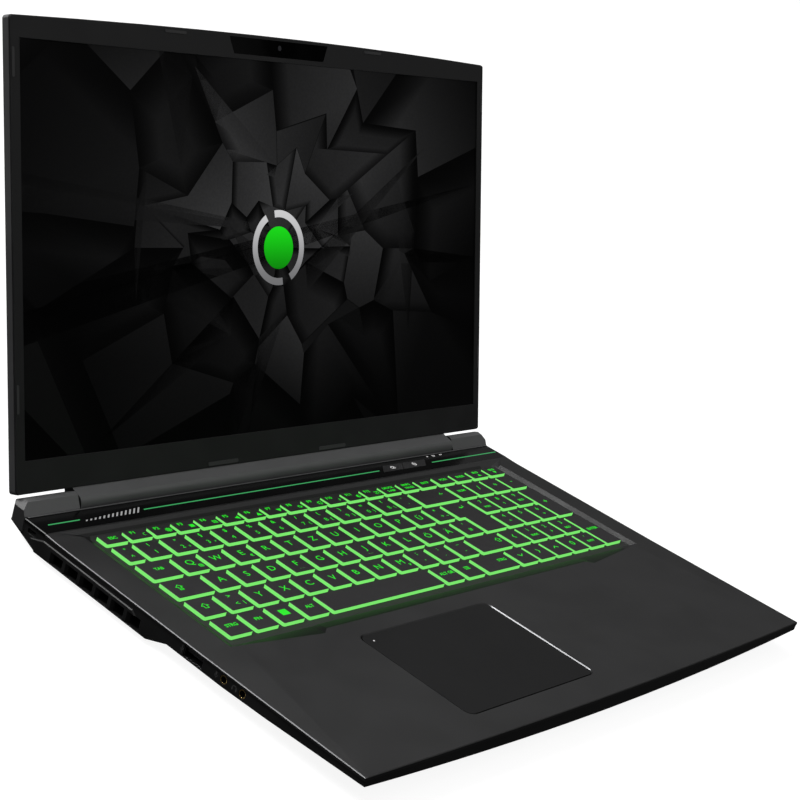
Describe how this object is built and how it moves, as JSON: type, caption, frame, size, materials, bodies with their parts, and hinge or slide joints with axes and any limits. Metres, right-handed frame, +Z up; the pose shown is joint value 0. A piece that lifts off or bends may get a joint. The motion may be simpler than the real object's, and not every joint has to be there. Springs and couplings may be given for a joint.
{
  "type": "laptop computer",
  "caption": "Open 17-inch laptop computer with a backlit keyboard, touchpad, faceted hinge caps and a dark display.",
  "frame": {"origin": "bottom centre of the whole open laptop's box, on the surface that the feet stand on", "axes": "+Z up, +X towards the keyboard's number pad, +Y from the front edge to the hinge"},
  "size_m": [0.396, 0.3492, 0.2559],
  "materials": {
    "shell_black": "fine grain, satin",
    "deck_grey": "fine satin coating",
    "hinge_grey": "satin paint",
    "lid_black": "satin coating",
    "gloss_black": "high gloss",
    "light_green": "lit, translucent",
    "key_glow": "lit, translucent",
    "key_cap": "fine matte",
    "key_frame": "matte",
    "touchpad_face": "smooth satin",
    "bezel_black": "fine matte",
    "screen": "lit display behind clear matte film",
    "camera_glass": "dark coated lens",
    "rubber": "matte",
    "steel": "zinc plated",
    "dark_steel": "black oxide",
    "copper": "bare copper",
    "fins": "bare",
    "circuit_board": "solder mask",
    "chips": "moulded",
    "battery_wrap": "film wrapped",
    "fan_black": "moulded",
    "socket_metal": "plated",
    "jack_black": "moulded",
    "mark_white": "printed or lit mark"
  },
  "bodies": {
    "base": {"bottom_cover": "shell_black", "palmrest_deck": "deck_grey", "hinge_cap_left": "hinge_grey", "hinge_cap_right": "hinge_grey", "status_strip": "gloss_black", "strip_light_guides": "light_green", "keyboard_frame": "key_frame", "keyboard_plate": "steel", "key_domes": "key_glow", "motherboard": "circuit_board", "processor_chips": "chips", "cold_plates": "copper", "heat_pipes": "copper", "heatsink_fins": "fins", "fan_housing_left": "fan_black", "fan_housing_right": "fan_black", "battery": "battery_wrap", "memory_modules": "circuit_board", "solid_state_drive": "circuit_board", "wireless_card": "circuit_board", "speakers": "jack_black", "audio_jacks": "jack_black", "usb_ports": "socket_metal", "card_reader": "jack_black", "network_port": "jack_black", "video_ports": "socket_metal", "usb_c_port": "socket_metal", "dc_inlet": "jack_black", "lock_slot_plate": "steel", "rubber_feet": "rubber", "bottom_screws": "dark_steel", "hinge_brackets": "steel"},
    "lid": {"lid_back_cover": "lid_black", "display_bezel": "bezel_black", "lcd_panel": "screen", "camera_module": "camera_glass", "camera_window": "gloss_black", "hinge_spine": "hinge_grey", "hinge_arms": "steel", "bezel_bumpers": "rubber"},
    "fan_rotor_left": {"fan_rotor_left": "fan_black"},
    "fan_rotor_right": {"fan_rotor_right": "fan_black"},
    "touchpad": {"touchpad": "touchpad_face"},
    "power_button": {"power_button": "gloss_black"},
    "mode_button": {"mode_button": "gloss_black"},
    "keys_function_row": {"keys_function_row": "key_cap"},
    "keys_number_row": {"keys_number_row": "key_cap"},
    "key_backspace": {"key_backspace": "key_cap"},
    "key_tab": {"key_tab": "key_cap"},
    "keys_upper_letters": {"keys_upper_letters": "key_cap"},
    "key_enter": {"key_enter": "key_cap"},
    "key_caps_lock": {"key_caps_lock": "key_cap"},
    "keys_home_letters": {"keys_home_letters": "key_cap"},
    "keys_shift": {"keys_shift": "key_cap"},
    "keys_lower_letters": {"keys_lower_letters": "key_cap"},
    "keys_modifiers": {"keys_modifiers": "key_cap"},
    "key_space": {"key_space": "key_cap"},
    "keys_arrows": {"keys_arrows": "key_cap"},
    "keys_numpad": {"keys_numpad": "key_cap"},
    "keys_numpad_tall": {"keys_numpad_tall": "key_cap"}
  },
  "joints": [
    {"name": "lid_hinge", "type": "hinge", "parent": "base", "child": "lid", "pos_m": [0, 0.07975, 0.01785], "axis": [1, 0, 0], "range_deg": [-19.6, 110.4]},
    {"name": "fan_spin_left", "type": "hinge", "parent": "base", "child": "fan_rotor_left", "pos_m": [-0.134, 0.01465, 0.0071], "axis": [0, 0, 1], "continuous": true},
    {"name": "fan_spin_right", "type": "hinge", "parent": "base", "child": "fan_rotor_right", "pos_m": [0.134, 0.01465, 0.0071], "axis": [0, 0, 1], "continuous": true},
    {"name": "touchpad_click", "type": "slide", "parent": "base", "child": "touchpad", "axis": [0, 0, -1], "range_m": [0, 0.0003], "stiffness_N_per_m": 1500, "springref_m": -0.001},
    {"name": "power_press", "type": "slide", "parent": "base", "child": "power_button", "axis": [0, 0, -1], "range_m": [0, 0.0003], "stiffness_N_per_m": 500, "springref_m": -0.001},
    {"name": "mode_press", "type": "slide", "parent": "base", "child": "mode_button", "axis": [0, 0, -1], "range_m": [0, 0.0003], "stiffness_N_per_m": 500, "springref_m": -0.001},
    {"name": "press_function_row", "type": "slide", "parent": "base", "child": "keys_function_row", "axis": [0, 0, -1], "range_m": [0, 0.0015], "stiffness_N_per_m": 350, "springref_m": -0.0008},
    {"name": "press_number_row", "type": "slide", "parent": "base", "child": "keys_number_row", "axis": [0, 0, -1], "range_m": [0, 0.0015], "stiffness_N_per_m": 350, "springref_m": -0.0008},
    {"name": "press_backspace", "type": "slide", "parent": "base", "child": "key_backspace", "axis": [0, 0, -1], "range_m": [0, 0.0015], "stiffness_N_per_m": 350, "springref_m": -0.0008},
    {"name": "press_tab", "type": "slide", "parent": "base", "child": "key_tab", "axis": [0, 0, -1], "range_m": [0, 0.0015], "stiffness_N_per_m": 350, "springref_m": -0.0008},
    {"name": "press_upper_letters", "type": "slide", "parent": "base", "child": "keys_upper_letters", "axis": [0, 0, -1], "range_m": [0, 0.0015], "stiffness_N_per_m": 350, "springref_m": -0.0008},
    {"name": "press_enter", "type": "slide", "parent": "base", "child": "key_enter", "axis": [0, 0, -1], "range_m": [0, 0.0015], "stiffness_N_per_m": 350, "springref_m": -0.0008},
    {"name": "press_caps_lock", "type": "slide", "parent": "base", "child": "key_caps_lock", "axis": [0, 0, -1], "range_m": [0, 0.0015], "stiffness_N_per_m": 350, "springref_m": -0.0008},
    {"name": "press_home_letters", "type": "slide", "parent": "base", "child": "keys_home_letters", "axis": [0, 0, -1], "range_m": [0, 0.0015], "stiffness_N_per_m": 350, "springref_m": -0.0008},
    {"name": "press_shift", "type": "slide", "parent": "base", "child": "keys_shift", "axis": [0, 0, -1], "range_m": [0, 0.0015], "stiffness_N_per_m": 350, "springref_m": -0.0008},
    {"name": "press_lower_letters", "type": "slide", "parent": "base", "child": "keys_lower_letters", "axis": [0, 0, -1], "range_m": [0, 0.0015], "stiffness_N_per_m": 350, "springref_m": -0.0008},
    {"name": "press_modifiers", "type": "slide", "parent": "base", "child": "keys_modifiers", "axis": [0, 0, -1], "range_m": [0, 0.0015], "stiffness_N_per_m": 350, "springref_m": -0.0008},
    {"name": "press_space", "type": "slide", "parent": "base", "child": "key_space", "axis": [0, 0, -1], "range_m": [0, 0.0015], "stiffness_N_per_m": 350, "springref_m": -0.0008},
    {"name": "press_arrows", "type": "slide", "parent": "base", "child": "keys_arrows", "axis": [0, 0, -1], "range_m": [0, 0.0015], "stiffness_N_per_m": 350, "springref_m": -0.0008},
    {"name": "press_numpad", "type": "slide", "parent": "base", "child": "keys_numpad", "axis": [0, 0, -1], "range_m": [0, 0.0015], "stiffness_N_per_m": 350, "springref_m": -0.0008},
    {"name": "press_numpad_tall", "type": "slide", "parent": "base", "child": "keys_numpad_tall", "axis": [0, 0, -1], "range_m": [0, 0.0015], "stiffness_N_per_m": 350, "springref_m": -0.0008}
  ]
}
